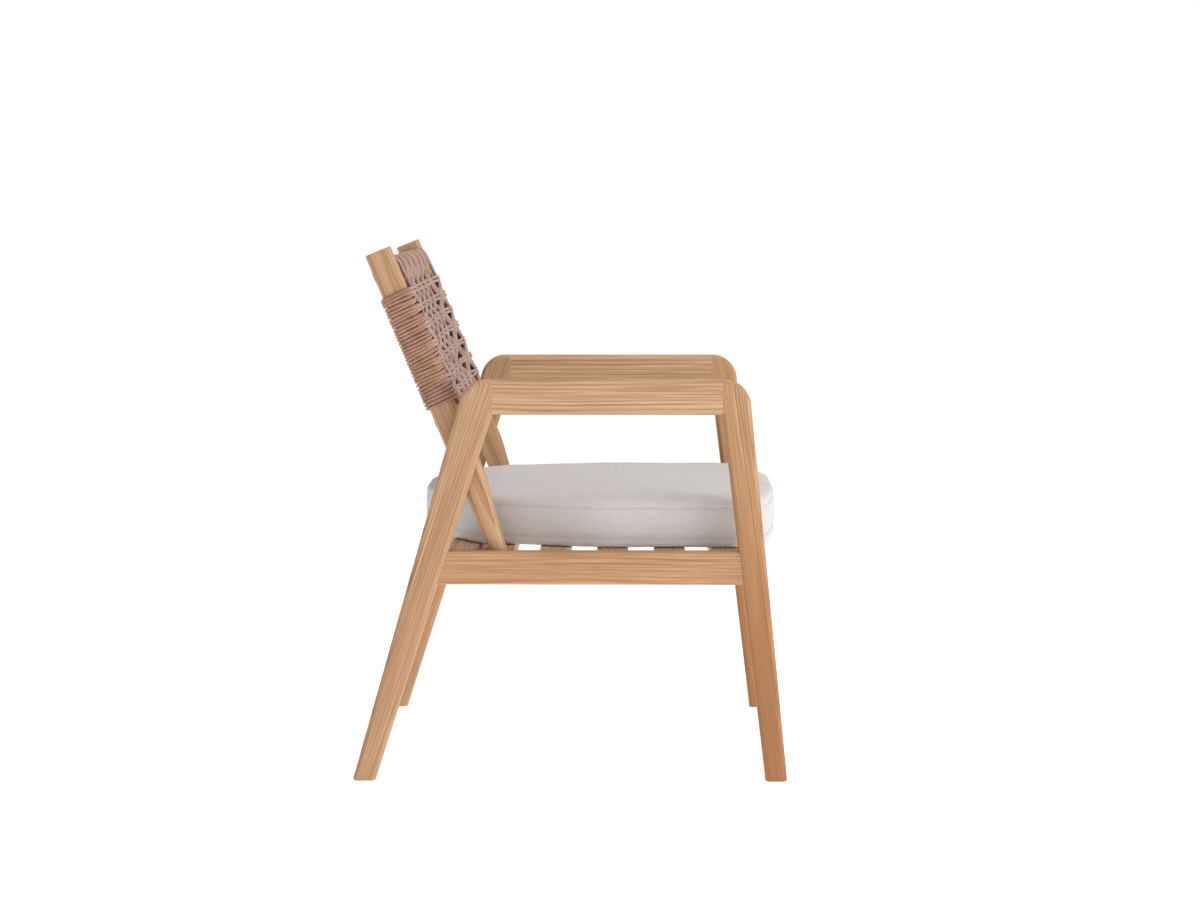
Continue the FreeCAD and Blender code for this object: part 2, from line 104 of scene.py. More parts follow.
def stretched_noise(tree, place, scale, detail=2.0, roughness=0.5):
    """Noise read in grain space; scale is waves per metre across, across and along the grain."""
    scaled = add(tree, "ShaderNodeVectorMath", {0: place, 1: scale}, operation="MULTIPLY").outputs[0]
    return add(tree, "ShaderNodeTexNoise", {"Vector": scaled, "Scale": 1.0, "Detail": detail,
                                            "Roughness": roughness}).outputs["Fac"]


ASH_PALE = (0.70, 0.47, 0.295)
ASH_WARM = (0.585, 0.36, 0.207)
ASH_VESSEL = (0.27, 0.135, 0.062)


def ash(name, grain, pith, seed, ring=0.0050, waver=0.012, tone=(1, 1, 1), foot_tone=None):
    """Ash cut so that the grain runs along a direction; pith is the tree's heart, off to one side.
    Tone is the board's own cast, and foot_tone its cast at the floor where it darkens downwards."""
    material, tree, shader = new_material(name)
    to_grain = Vector(grain).normalized().rotation_difference(Vector((0, 0, 1))).to_euler()
    rng = random.Random(seed)
    place = add(tree, "ShaderNodeMapping",
                {"Vector": add(tree, "ShaderNodeTexCoord").outputs["Object"], "Rotation": to_grain,
                 "Location": (pith[0], pith[1], rng.uniform(-3, 3))}).outputs[0]
    flat = add(tree, "ShaderNodeVectorMath", {0: place, 1: (1, 1, 0)}, operation="MULTIPLY").outputs[0]
    from_pith = add(tree, "ShaderNodeVectorMath", {0: flat}, operation="LENGTH").outputs["Value"]
    bend = stretched_noise(tree, place, (7, 7, 1.6), 1.0)
    ripple = stretched_noise(tree, place, (60, 60, 7), 2.0)
    wander = math_node(tree, "ADD", math_node(tree, "MULTIPLY", bend, waver),
                       math_node(tree, "MULTIPLY", ripple, waver * 0.12))
    lean_years = math_node(tree, "MULTIPLY", add(tree, "ShaderNodeTexNoise", {"Vector": flat, "Scale": 38.0,
                                                 "Detail": 2.0}).outputs["Fac"], ring * 5.5)
    grown = math_node(tree, "ADD", math_node(tree, "ADD", from_pith, wander), lean_years)
    rings = math_node(tree, "DIVIDE", grown, ring)
    year = math_node(tree, "FRACT", rings)
    vessels = ramp(tree, year, [(0.0, 1.0), (0.14, 0.8), (0.34, 0.12), (0.8, 0.0), (1.0, 0.75)])
    fibres = stretched_noise(tree, place, (430, 430, 7), 3.0, 0.65)
    pores = ramp(tree, stretched_noise(tree, place, (1500, 1500, 45), 1.0), [(0.54, 0.0), (0.66, 1.0)])
    clouds = stretched_noise(tree, place, (14, 14, 2.2), 2.0)
    plain = mix(tree, ramp(tree, clouds, [(0.3, 0.0), (0.7, 1.0)]), ASH_PALE, ASH_WARM)
    cast = tone
    if foot_tone:
        where = add(tree, "ShaderNodeTexCoord").outputs["Object"]
        height = add(tree, "ShaderNodeSeparateXYZ", {0: where}).outputs[2]
        cast = mix(tree, ramp(tree, height, [(0.18, 0.0), (0.58, 1.0)]), foot_tone, tone)
    ground = mix(tree, 1.0, plain, cast, "MULTIPLY")
    streaks = mix(tree, ramp(tree, fibres, [(0.36, 0.55), (0.62, 0.0)]), ground, ASH_VESSEL)
    open_pores = math_node(tree, "ADD", math_node(tree, "MULTIPLY", pores, 0.35), 0.62)
    strength = math_node(tree, "MULTIPLY", vessels, open_pores)
    faint = ramp(tree, stretched_noise(tree, place, (45, 45, 3), 2.0), [(0.34, 0.45), (0.62, 1.0)])
    strength = math_node(tree, "MULTIPLY", strength, faint)
    colour = mix(tree, strength, streaks, ASH_VESSEL)
    tree.links.new(colour, shader.inputs["Base Color"])
    rough = math_node(tree, "ADD", math_node(tree, "MULTIPLY", strength, 0.25), 0.46)
    tree.links.new(rough, shader.inputs["Roughness"])
    shader.inputs["Specular IOR Level"].default_value = 0.32
    relief = math_node(tree, "SUBTRACT", math_node(tree, "MULTIPLY", fibres, 0.35), strength)
    bump = add(tree, "ShaderNodeBump", {"Height": relief, "Strength": 0.35, "Distance": 0.0006})
    tree.links.new(bump.outputs["Normal"], shader.inputs["Normal"])
    return material


def finish_node(node, material):
    """Gives a carried-over piece its material."""
    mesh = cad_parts[node].data
    mesh.materials.clear()
    mesh.materials.append(material)


def lean(node):
    """Direction up along a leg or post, from the middle of its foot to the middle of its head."""
    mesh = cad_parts[node].data
    points = np.array([v.co for v in mesh.vertices])
    low, high = points[:, 2].min(), points[:, 2].max()
    span = high - low
    foot = points[points[:, 2] < low + 0.02 * span].mean(0)
    waist = points[(points[:, 2] > low + 0.40 * span) & (points[:, 2] < low + 0.66 * span)].mean(0)
    return Vector((0, waist[1] - foot[1], waist[2] - foot[2])).normalized()


for side, seed in (("left", 3), ("right", 11)):
    finish_node("rear_leg_" + side, ash("ash_rear_leg_" + side, lean("rear_leg_" + side), (0.05, 0.16), seed,
                                        ring=0.0032, tone=(1.0, 0.94, 0.88)))
    finish_node("front_leg_" + side, ash("ash_front_leg_" + side, lean("front_leg_" + side), (0.03, 0.13),
                                         seed + 1, ring=0.0034, tone=(0.94, 0.82, 0.69),
                                         foot_tone=(0.74, 0.50, 0.30)))
    finish_node("arm_" + side, ash("ash_arm_" + side, (0, 1, 0), (0.04, 0.10), seed + 2, waver=0.02,
                                   tone=(1.06, 1.02, 0.97)))
    finish_node("side_rail_" + side, ash("ash_side_rail_" + side, (0, 1, 0), (0.32, 0.12), seed + 3,
                                         waver=0.022, tone=(0.98, 0.86, 0.73)))


# ---- Seat deck ---------------------------------------------------------------------------------
# Two cross rails dowelled between the side frames, three loose slats screwed down on ledger
# strips, and a stretcher that ties the feet of the back posts. All ash, the same matt oil.

for number, node in enumerate(("front_cross_rail", "rear_cross_rail", "seat_slat_1", "seat_slat_2",
                               "seat_slat_3", "post_stretcher")):
    finish_node(node, ash("ash_" + node, (1, 0, 0), (0.05 + 0.01 * number, 0.10), 30 + number, waver=0.014))
for side in ("left", "right"):
    finish_node("slat_ledger_" + side, ash("ash_ledger_" + side, (0, 1, 0), (0.06, 0.08), 41))
for node in ("arm_loose_tenons", "cross_rail_dowels", "stretcher_dowels", "crossbar_dowels"):
    finish_node(node, ash("ash_" + node, (1, 0, 0), (0.05, 0.05), 47, ring=0.002))


# ---- Back frame --------------------------------------------------------------------------------
# Two inclined ash posts with generously rounded edges, narrowed in front towards the seat, and
# two rounded crossbars dowelled between them that the cord is wound on.

def centre(node):
    low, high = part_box(node)
    return (low + high) / 2


def node_points(node):
    return np.array([v.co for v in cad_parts[node].data.vertices])


DOWN = (centre("bottom_crossbar") - centre("top_crossbar")).normalized()
FORWARD = Vector((0, DOWN.z, -DOWN.y))
POST_TOP = float((node_points("back_post_left") @ np.array(DOWN)).min())
BACK_ORIGIN = centre("top_crossbar") + DOWN * (POST_TOP - centre("top_crossbar").dot(DOWN))
BACK_ORIGIN.x = 0


def back_point(x, along, forward):
    """A point of the back: along is down from the posts' square tops, forward is towards the sitter."""
    return BACK_ORIGIN + Vector((x, 0, 0)) + DOWN * along + FORWARD * forward


def back_places(node):
    """A node's points as x, along and forward."""
    from_top = node_points(node) - np.array(BACK_ORIGIN)
    return from_top[:, 0], from_top @ np.array(DOWN), from_top @ np.array(FORWARD)


def rounded_section(a, b):
    """Half sizes and corner radius of the rounded rectangle that encloses points (a, b)."""
    a = a - (a.min() + a.max()) / 2
    b = b - (b.min() + b.max()) / 2
    diagonal = float((a + b).max()) / math.sqrt(2)
    half_a, half_b = float(a.max()), float(b.max())
    corner = ((half_a + half_b) / math.sqrt(2) - diagonal) / (math.sqrt(2) - 1)
    return half_a, half_b, corner


for side, seed in (("left", 61), ("right", 67)):
    finish_node("back_post_" + side, ash("ash_back_post_" + side, -DOWN, (0.03, 0.09), seed, ring=0.0062,
                                         tone=(0.97, 0.91, 0.84)))
for node, seed in (("top_crossbar", 71), ("bottom_crossbar", 73)):
    finish_node(node, ash("ash_" + node, (1, 0, 0), (0.05, 0.09), seed))


# ---- Cord ----------------------------------------------------------------------------------------
# Three-ply twisted cord about 5 mm thick, in a dull rosy brown. It is wound round the posts and over
# the bars, and crosses between them in the woven panel. It is pulled tight by hand.

winding_x, winding_along, winding_forward = back_places("post_cord_winding_left")
POST_SLEEVE = rounded_section(winding_x, winding_forward)
post_low, post_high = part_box("back_post_left")
CORD_RADIUS = (POST_SLEEVE[0] - (post_high.x - post_low.x) / 2) / 2
POST_MIDDLE = (post_low.x + post_high.x) / 2
PLIES = 3.0
TWIST = 1150                     # turn of the plies in radians for each metre of cord
CORD_PALE = (0.50, 0.335, 0.268)
CORD_DULL = (0.385, 0.24, 0.18)
# painted shade for the grooves between the plies
CORD_FURROW_PAINTED_SHADE = (0.13, 0.066, 0.045)
CORD_FIBRE = (0.20, 0.11, 0.08)


def cord_material(name, tone=(1, 1, 1)):
    """Tone is a colour multiplied over this length of cord; on the posts it is a painted warm shade."""
    material, tree, shader = new_material(name)
    round_it = add(tree, "ShaderNodeAttribute", attribute_name="cord").outputs["Vector"]
    parts = add(tree, "ShaderNodeSeparateXYZ", {0: round_it}).outputs
    angle = math_node(tree, "ARCTAN2", parts[1], parts[0])
    around = math_node(tree, "MULTIPLY", angle, PLIES)
    twist = math_node(tree, "ADD", around, math_node(tree, "MULTIPLY", parts[2], TWIST))
    plies = math_node(tree, "ABSOLUTE", math_node(tree, "SINE", math_node(tree, "MULTIPLY", twist, 0.5)))
    where = add(tree, "ShaderNodeTexCoord").outputs["Object"]
    fibre = add(tree, "ShaderNodeTexNoise", {"Vector": where, "Scale": 1400.0, "Detail": 2.0}).outputs["Fac"]
    patch = add(tree, "ShaderNodeTexNoise", {"Vector": where, "Scale": 45.0, "Detail": 2.0}).outputs["Fac"]
    ground = mix(tree, ramp(tree, patch, [(0.35, 0.0), (0.65, 1.0)]), CORD_PALE, CORD_DULL)
    ground = mix(tree, 1.0, ground, tone, "MULTIPLY")
    # Painted shade: the colour darkens in the grooves between the plies, where shade falls.
    ply_groove_painted_shade = ramp(tree, plies, [(0.0, 0.45), (0.4, 0.06), (1.0, 0.0)])
    shaded = mix(tree, ply_groove_painted_shade, ground, CORD_FURROW_PAINTED_SHADE)
    colour = mix(tree, ramp(tree, fibre, [(0.35, 0.10), (0.7, 0.0)]), shaded, CORD_FIBRE)
    tree.links.new(colour, shader.inputs["Base Color"])
    shader.inputs["Roughness"].default_value = 0.58
    shader.inputs["Specular IOR Level"].default_value = 0.35
    shader.inputs["Sheen Weight"].default_value = 0.25
    shader.inputs["Sheen Roughness"].default_value = 0.4
    relief = math_node(tree, "ADD", plies, math_node(tree, "MULTIPLY", fibre, 0.35))
    bump = add(tree, "ShaderNodeBump", {"Height": relief, "Strength": 0.25, "Distance": 0.0006})
    tree.links.new(bump.outputs["Normal"], shader.inputs["Normal"])
    return material


CORD = cord_material("twisted_cord")
# The cord on the posts is the same cord with painted warm shade: a darker, warmer tone stands in for how the
# light falls on the posts.
POST_CORD_PAINTED_WARM_SHADE = cord_material("twisted_cord_on_posts_painted_warm_shade", (0.93, 0.76, 0.64))
PULL = 0.93                      # cord pulled tight is this much thinner than it lies slack


def winding_tree():
    """Sweeps a round cord along every path, and keeps how far along and around it each point is."""
    tree = bpy.data.node_groups.new("cord_along_paths", "GeometryNodeTree")
    face = tree.interface
    face.new_socket("Geometry", in_out="INPUT", socket_type="NodeSocketGeometry")
    face.new_socket("Cord radius", in_out="INPUT", socket_type="NodeSocketFloat")
    face.new_socket("Sides", in_out="INPUT", socket_type="NodeSocketInt")
    face.new_socket("Material", in_out="INPUT", socket_type="NodeSocketMaterial")
    face.new_socket("Geometry", in_out="OUTPUT", socket_type="NodeSocketGeometry")
    given = tree.nodes.new("NodeGroupInput")
    result = tree.nodes.new("NodeGroupOutput")
    paths = add(tree, "GeometryNodeMeshToCurve", {"Mesh": given.outputs["Geometry"]})
    length = add(tree, "GeometryNodeSplineParameter").outputs["Length"]
    along = add(tree, "GeometryNodeCaptureAttribute", {0: paths.outputs["Curve"]}, domain="POINT")
    along.capture_items.new("FLOAT", "along")
    tree.links.new(length, along.inputs["along"])
    ring = add(tree, "GeometryNodeCurvePrimitiveCircle",
               {"Resolution": given.outputs["Sides"], "Radius": given.outputs["Cord radius"]})
    unit = add(tree, "ShaderNodeVectorMath", {0: add(tree, "GeometryNodeInputPosition").outputs[0]},
               operation="NORMALIZE").outputs[0]
    around = add(tree, "GeometryNodeCaptureAttribute", {0: ring.outputs["Curve"]}, domain="POINT")
    around.capture_items.new("VECTOR", "around")
    tree.links.new(unit, around.inputs["around"])
    swept = add(tree, "GeometryNodeCurveToMesh",
                {"Curve": along.outputs[0], "Profile Curve": around.outputs[0], "Fill Caps": True})
    split = add(tree, "ShaderNodeSeparateXYZ", {0: around.outputs["around"]}).outputs
    packed = add(tree, "ShaderNodeCombineXYZ", {0: split[0], 1: split[1], 2: along.outputs["along"]})
    stored = add(tree, "GeometryNodeStoreNamedAttribute", {"Geometry": swept.outputs[0], "Name": "cord",
                                                           "Value": packed.outputs[0]},
                 data_type="FLOAT_VECTOR", domain="POINT")
    smooth = add(tree, "GeometryNodeSetShadeSmooth", {"Geometry": stored.outputs[0]})
    real = add(tree, "GeometryNodeRealizeInstances", {"Geometry": smooth.outputs[0]})
    painted = add(tree, "GeometryNodeSetMaterial",
                  {"Geometry": real.outputs[0], "Material": given.outputs["Material"]})
    tree.links.new(painted.outputs[0], result.inputs[0])
    return tree


WINDING = winding_tree()


def set_inputs(modifier, values):
    """Sets a Geometry Nodes modifier's inputs by name, through each socket's identifier."""
    for item in modifier.node_group.interface.items_tree:
        if item.in_out == "INPUT" and item.name in values:
            modifier[item.identifier] = values[item.name]


def plain_mesh(name, source):
    """The evaluated source as a plain mesh object of its own; the source is removed."""
    graph = bpy.context.evaluated_depsgraph_get()
    mesh = bpy.data.meshes.new_from_object(source.evaluated_get(graph))
    mesh.name = name
    bpy.data.objects.remove(source)
    piece = bpy.data.objects.new(name, mesh)
    bpy.context.scene.collection.objects.link(piece)
    return piece


def wind(name, paths, replaced, sides=9, material=CORD):
    """Makes one piece of cord along a list of paths, each a list of points."""
    points = []
    edges = []
    for path in paths:
        first = len(points)
        points += [tuple(p) for p in path]
        edges += [(first + i, first + i + 1) for i in range(len(path) - 1)]
    mesh = bpy.data.meshes.new(name + "_paths")
    mesh.from_pydata(points, edges, [])
    source = bpy.data.objects.new(name + "_paths", mesh)
    bpy.context.scene.collection.objects.link(source)
    modifier = source.modifiers.new("cord", "NODES")
    modifier.node_group = WINDING
    set_inputs(modifier, {"Cord radius": CORD_RADIUS * PULL, "Sides": sides, "Material": material})
    piece = plain_mesh(name, source)
    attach(piece, "chair_frame")
    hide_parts(*replaced)
    return piece


def round_bar(share, half_a, half_b, corner):
    """A point on a rounded rectangle; share runs once round it, starting in the middle of side +b."""
    straight_a = half_a - corner
    straight_b = half_b - corner
    quarter = math.pi * corner / 2
    lengths = [straight_a, quarter, 2 * straight_b, quarter, 2 * straight_a,
               quarter, 2 * straight_b, quarter, straight_a]
    rest = (share % 1.0) * sum(lengths)
    number = 0
    while rest > lengths[number] and number < 8:
        rest -= lengths[number]
        number += 1
    turn = rest / corner
    if number == 0:
        return rest, half_b
    if number == 1:
        return straight_a + corner * math.sin(turn), straight_b + corner * math.cos(turn)
    if number == 2:
        return half_a, straight_b - rest
    if number == 3:
        return straight_a + corner * math.cos(turn), -straight_b - corner * math.sin(turn)
    if number == 4:
        return straight_a - rest, -half_b
    if number == 5:
        return -straight_a - corner * math.sin(turn), -straight_b - corner * math.cos(turn)
    if number == 6:
        return -half_a, -straight_b + rest
    if number == 7:
        return -straight_a - corner * math.cos(turn), straight_b + corner * math.sin(turn)
    return -straight_a + rest, half_b


# ---- Cord wound on the posts ----------------------------------------------------------------------
# Close turns round each post, from the top of the panel to its bottom, pulled on by hand. They vary
# a little in pull and in slant, so some turns ride up and others leave a dark gap.

WINDING_START = float(winding_along.min())
WINDING_END = float(winding_along.max())
WINDING_TURNS = round((WINDING_END - WINDING_START) / (2 * CORD_RADIUS)) - 1
WINDING_PITCH = (WINDING_END - WINDING_START - 2 * CORD_RADIUS) / WINDING_TURNS
STEPS_PER_TURN = 44
TURN_LIFT = (-0.0003, 0.0006)    # how far a turn sinks in or rides up
TURN_SHIFT = 0.0008              # how far a turn lies from its even place along the post
TURN_SLANT = 0.0018              # how far it has slipped down by the front of the post


def post_turns(side, seed):
    rng = random.Random(seed)
    half_x, half_forward, corner = (size - CORD_RADIUS for size in POST_SLEEVE)
    lifts = [rng.uniform(*TURN_LIFT) for _ in range(WINDING_TURNS + 2)]
    shifts = [rng.uniform(-TURN_SHIFT, TURN_SHIFT) for _ in range(WINDING_TURNS + 2)]
    slants = [rng.uniform(-TURN_SLANT, TURN_SLANT) for _ in range(WINDING_TURNS + 2)]
    path = []
    for step in range(WINDING_TURNS * STEPS_PER_TURN + 1):
        turn, part = divmod(step, STEPS_PER_TURN)
        part /= STEPS_PER_TURN
        lift = lifts[turn] + (lifts[turn + 1] - lifts[turn]) * part
        shift = shifts[turn] + (shifts[turn + 1] - shifts[turn]) * part
        slant = slants[turn] + (slants[turn + 1] - slants[turn]) * part
        across, forward = round_bar(part, half_x + lift, half_forward + lift, corner)
        along = WINDING_START + CORD_RADIUS + (turn + part) * WINDING_PITCH + shift
        along += slant * forward / half_forward
        along = min(max(along, WINDING_START + CORD_RADIUS), WINDING_END - CORD_RADIUS)
        path.append(back_point(side * (POST_MIDDLE + across), along, forward))
    return [path]


# These turns take the cord with painted warm shade over its colour.
wind("post_cord_left", post_turns(1, 5), ["post_cord_winding_left"], material=POST_CORD_PAINTED_WARM_SHADE)
wind("post_cord_right", post_turns(-1, 8), ["post_cord_winding_right"], material=POST_CORD_PAINTED_WARM_SHADE)


# ---- Cord over the bars ---------------------------------------------------------------------------
# Turns of the same cord, laid side by side and pulled tight, hide each crossbar from end to end.
# The bands of the panel come up from between them and are wound down over the bar's edge.

BAR_STEPS = 34
BUNDLES = 12                     # the turns gather in slight bundles
BUNDLE_RISE = 0.0010             # further out at the front of a bar
BUNDLE_LIFT = 0.0009             # all round it
BUNDLE_FULLNESS = 0.6            # below 1 the bundles are broad, with narrow joins
BAR_TURN_LIFT = (-0.0003, 0.0007)
BAR_TURN_LEAN = 0.0016
BAR_HALF_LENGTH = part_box("top_crossbar")[1].x


def bar_turns(node, seed):
    bar_along, bar_forward = back_places(node)[1:]
    half_height, half_depth, corner = (size + CORD_RADIUS for size in rounded_section(bar_along, bar_forward))
    middle = float(bar_along.min() + bar_along.max()) / 2
    count = int((BAR_HALF_LENGTH - CORD_RADIUS) / CORD_RADIUS)
    rng = random.Random(seed)
    lifts = [rng.uniform(*BAR_TURN_LIFT) for _ in range(count + 2)]
    leans = [rng.uniform(-BAR_TURN_LEAN, BAR_TURN_LEAN) for _ in range(count + 2)]
    path = []
    for step in range(count * BAR_STEPS + 1):
        turn, part = divmod(step, BAR_STEPS)
        part /= BAR_STEPS
        lift = lifts[turn] + (lifts[turn + 1] - lifts[turn]) * part
        lean_out = leans[turn] + (leans[turn + 1] - leans[turn]) * part
        x = -BAR_HALF_LENGTH + CORD_RADIUS + (turn + part) * 2 * CORD_RADIUS
        gathered = abs(math.sin(math.pi * BUNDLES * (x / BAR_HALF_LENGTH + 1) / 2)) ** BUNDLE_FULLNESS
        lift += BUNDLE_LIFT * gathered
        up, forward = round_bar(part, half_height + lift, half_depth + lift, corner)
        if forward > 0:
            forward *= 1 + BUNDLE_RISE * gathered / half_depth
        x += lean_out * up / half_height
        x = min(max(x, CORD_RADIUS - BAR_HALF_LENGTH), BAR_HALF_LENGTH - CORD_RADIUS)
        path.append(back_point(x, middle - up, forward))
    return [path]


wind("top_bar_cord", bar_turns("top_crossbar", 21), ["top_bar_cord_winding"], sides=8)
wind("bottom_bar_cord", bar_turns("bottom_crossbar", 22), ["bottom_bar_cord_winding"], sides=8)


# ---- Woven panel ----------------------------------------------------------------------------------
# Slanting bands cross in open diamonds on each face, fanned out from both bars. In every row level
# cords run from post to post, in front in the diamonds, behind the crossings, and round the posts.

PANEL_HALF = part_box("front_cord_weave")[1].x
TOP_BAR_ALONG = back_places("top_crossbar")[1]
BOTTOM_BAR_ALONG = back_places("bottom_crossbar")[1]
BAR_DEPTH = float(back_places("top_crossbar")[2].max()) + CORD_RADIUS
DIAMONDS = 6
REACH = {1: POST_MIDDLE, -1: PANEL_HALF}        # where the bands turn back, in front and behind
BAND_CORDS = {1: 3, -1: 4}                      # cords in a band, in front and behind
FLARE_START = 0.165             # from here outwards the front bands rise to pass over the posts
ROWS = 7
FAN_TOP = float(TOP_BAR_ALONG.min() + TOP_BAR_ALONG.max()) / 2
FAN_BOTTOM = float(BOTTOM_BAR_ALONG.min() + BOTTOM_BAR_ALONG.max()) / 2
FIRST_ROW = WINDING_START + 2.5 * CORD_RADIUS
LAST_ROW = WINDING_END - 0.010
ROW_STEP = (LAST_ROW - FIRST_ROW) / (ROWS - 1)
BAND_SPREAD = 0.0097            # from cord to cord in a band, measured level
LEVEL_CORDS = 2
FACE_DEPTH = 0.0135             # middle of the bands, forward of the middle of the posts
KNOT_RISE = 0.0074              # how far the level cords stand out in a diamond and dip at a crossing
CROSS_RISE = 0.0030             # how far a band rides over the one that it crosses
LEVEL_GAP = 2.1                 # between the middles of a row's level cords, in cord radii
LEVEL_DROP = 0.001              # how far the level cords run behind the bands on the whole
LEVEL_FLATTEN = 0.7             # how much less they stand out near the posts
LEVEL_INSET = 0.0035            # from a post's outer side to where they end
LEVEL_ON_POST = 0.0006          # forward of the winding's face, where they cross a post
POST_APPROACH = 0.022           # the length over which they rise to a post
TUCK_REACH = 0.8                # how far in from their ends they start to tuck in, in corner radii
TUCK_DEPTH = 0.75               # how far back they tuck, in corner radii
PAST_ROWS = 0.35                # how far the bands keep their slant past the end rows, in rows
TOP_LIFT_OFF = 0.034            # from the middle of the top bar to where the bands leave its face
BOTTOM_LIFT_OFF = 0.030
HAND_SWAY = 0.0007              # how unevenly a cord runs
BAND_DRIFT = 0.0009
STEP = 0.0042
EDGE_STEPS = 9
EDGE_START = math.radians(12)   # past the crest of a bar, where a band comes up from its turns
GATHER = 0.6                    # how closely a band's cords lie on the bars, against the panel


def ease(t):
    t = min(max(t, 0.0), 1.0)
    return t * t * (3 - 2 * t)


def folded(x, reach):
    """Keeps a level place between the posts: a cord that meets one turns back."""
    x = (x + reach) % (4 * reach)
    return (x if x <= 2 * reach else 4 * reach - x) - reach


def flare(x, facing):
    """From 0 in the hollow middle of the front face to 1 where it has risen to the posts."""
    return ease((abs(x) - FLARE_START) / (PANEL_HALF - FLARE_START)) if facing > 0 else 0.0


def face_depth(x, facing):
    """How far forward the bands lie. Over the posts they sink two thirds into the winding."""
    over_post = POST_SLEEVE[1] - CORD_RADIUS / 3
    return FACE_DEPTH + (over_post - FACE_DEPTH) * flare(x, facing)


def over_bar(node):
    """The places where a band rounds a bar's outer edge, from the crest to the face. They are given
    as a height above the middle of the bar and a depth, and start tucked in among the bar's turns."""
    half_height, half_depth, corner = rounded_section(*back_places(node)[1:])
    places = []
    for step in range(EDGE_STEPS):
        share = step / EDGE_STEPS
        turn = EDGE_START + (math.pi / 2 - EDGE_START) * share
        out = corner + CORD_RADIUS * (1 + 2 * ease(share * 2))
        places.append((half_height - corner + out * math.cos(turn),
                       half_depth - corner + out * math.sin(turn)))
    return places


OVER_TOP_BAR = over_bar("top_crossbar")
OVER_BOTTOM_BAR = over_bar("bottom_crossbar")


def band_cord(crossing, heading, number, facing, rng):
    """One cord of a band. Crossing is where its band is in the first row, heading is its slant."""
    reach = REACH[facing]
    offset = (number - (BAND_CORDS[facing] - 1) / 2) * BAND_SPREAD
    gathered = offset * GATHER
    phase = rng.uniform(0, 6.28)
    drift = rng.uniform(-BAND_DRIFT, BAND_DRIFT)
    count = int((FAN_BOTTOM - FAN_TOP) / STEP)
    path = []
    for step in range(count + 1):
        along = FAN_TOP + (FAN_BOTTOM - FAN_TOP) * step / count
        rows = (along - FIRST_ROW) / ROW_STEP
        slanted = min(max(rows, -PAST_ROWS), ROWS - 1 + PAST_ROWS)
        x = crossing + heading * slanted * reach / DIAMONDS
        spread_out = ease(max(-rows, rows - (ROWS - 1)))
        x += offset + (gathered - offset) * spread_out
        over = math.cos(math.pi * rows) * heading * facing
        near_bar = ease(max(1 - (along - FAN_TOP) / TOP_LIFT_OFF,
                            1 - (FAN_BOTTOM - along) / BOTTOM_LIFT_OFF))
        x = folded(x + drift + HAND_SWAY * math.sin(phase + along * 90), reach)
        if abs(x) > PANEL_HALF:
            near_bar = 0
            along = max(along, WINDING_START + CORD_RADIUS)
        depth = face_depth(x, facing) + CROSS_RISE * over * (1 - near_bar) * (1 - flare(x, facing))
        depth += (BAR_DEPTH + 2 * CORD_RADIUS - depth) * near_bar
        path.append(back_point(x, along, facing * depth))
    on_bar = BAR_HALF_LENGTH - CORD_RADIUS
    first_x, last_x = path[0].x, path[-1].x
    if abs(first_x) < on_bar:
        path = [back_point(first_x, FAN_TOP - up, facing * out) for up, out in OVER_TOP_BAR] + path
    if abs(last_x) < on_bar:
        path += [back_point(last_x, FAN_BOTTOM + up, facing * out) for up, out in reversed(OVER_BOTTOM_BAR)]
    return path


def level_cord(row, number, facing, shift, rng):
    """One of a row's level cords. It runs over the front of both posts and tucks in behind."""
    along = FIRST_ROW + row * ROW_STEP + (number - (LEVEL_CORDS - 1) / 2) * LEVEL_GAP * CORD_RADIUS
    stagger = 0.5 if row % 2 == 0 else 0.0
    phase = rng.uniform(0, 6.28)
    half_x, half_forward, corner = POST_SLEEVE
    reach = POST_MIDDLE + half_x - LEVEL_INSET
    count = int(2 * reach / STEP)
    path = []
    for step in range(count + 1):
        x = -reach + 2 * reach * step / count
        diamonds = (x + REACH[facing]) * DIAMONDS / (2 * REACH[facing])
        wave = math.cos(2 * math.pi * (diamonds - stagger - shift))
        stand_out = KNOT_RISE * wave * (1 - LEVEL_FLATTEN * flare(x, facing))
        depth = face_depth(x, facing) - LEVEL_DROP + stand_out
        on_post = ease((abs(x) - PANEL_HALF + POST_APPROACH) / POST_APPROACH)
        over_post = half_forward + (LEVEL_ON_POST if facing > 0 else -2 * CORD_RADIUS)
        depth += (over_post - depth) * on_post
        tuck = ease((abs(x) - reach + corner * TUCK_REACH) / (corner * TUCK_REACH))
        depth -= tuck * corner * TUCK_DEPTH
        sway = HAND_SWAY * math.sin(phase + x * 60)
        path.append(back_point(x, along + sway, facing * depth))
    return path


def panel_paths(facing, shift, seed):
    rng = random.Random(seed)
    paths = []
    for index in range(DIAMONDS + 1):
        crossing = -REACH[facing] + (index + shift) * 2 * REACH[facing] / DIAMONDS
        for heading in (1, -1):
            for number in range(BAND_CORDS[facing]):
                paths.append(band_cord(crossing, heading, number, facing, rng))
    for row in range(ROWS):
        for number in range(LEVEL_CORDS):
            paths.append(level_cord(row, number, facing, shift, rng))
    return paths


wind("front_weave", panel_paths(1, 0.0, 31), ["front_cord_weave"])
wind("rear_weave", panel_paths(-1, 0.5, 32), ["rear_cord_weave"])


# ---- Fixings -------------------------------------------------------------------------------------
# Zinc-plated screws hold the slats and ledgers, and flat-headed bolts hold each post to its leg
# and rail.

